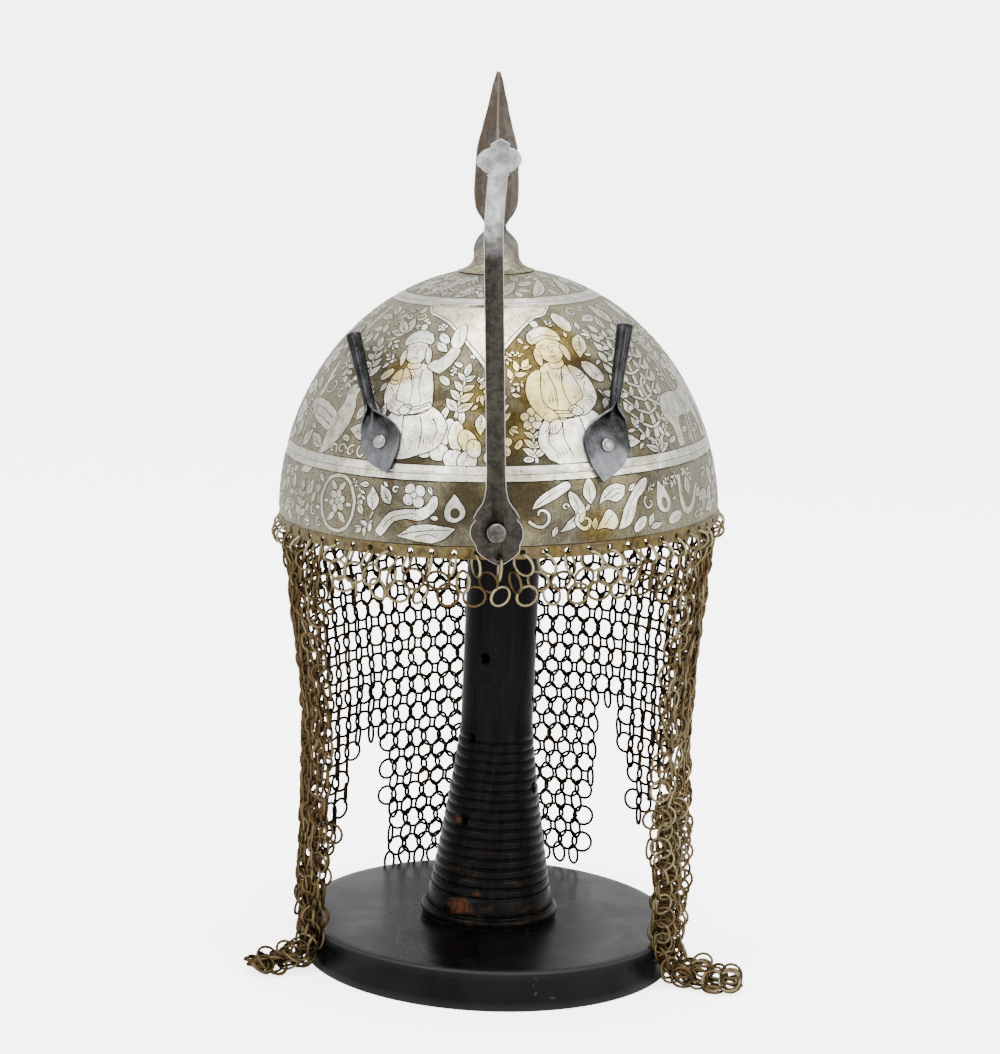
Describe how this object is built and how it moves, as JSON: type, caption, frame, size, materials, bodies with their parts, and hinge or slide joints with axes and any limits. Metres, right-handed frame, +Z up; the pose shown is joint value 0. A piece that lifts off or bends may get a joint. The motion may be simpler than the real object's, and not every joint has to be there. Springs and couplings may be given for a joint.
{
  "type": "kulah khud helmet on a display stand",
  "caption": "Etched steel kulah khud with spike, nasal bar, plume holders and a hanging mail curtain, resting on a turned black stand.",
  "frame": {"origin": "centre of the underside of the stand's round base, on the surface it stands on", "axes": "+Z up through the stand and the spike, -Y towards the nasal bar at the front, +X to the viewer's right of a viewer who faces the nasal bar"},
  "size_m": [0.2349, 0.211, 0.4191],
  "materials": {
    "etched_steel": "etched, silvery pattern on a brown ground",
    "brown_iron": "rust brown, worn grey on the edges",
    "dark_iron": "dark patina with bright filed edges",
    "blue_steel": "dark blue-grey, satin",
    "bright_steel": "worn bright",
    "mail_steel": "rusty brown wire",
    "black_wood": "black stain, satin, brown where worn",
    "black_paint": "black paint, satin"
  },
  "bodies": {
    "root": {"bowl": "etched_steel", "finial_neck": "brown_iron", "finial_spike": "brown_iron", "nasal_bar": "dark_iron", "nasal_rivet": "bright_steel", "plume_holder_left": "blue_steel", "plume_holder_right": "blue_steel", "plume_rivet_left": "bright_steel", "plume_rivet_right": "bright_steel", "camail": "mail_steel", "stand_column": "black_wood", "stand_base": "black_paint"}
  },
  "joints": []
}
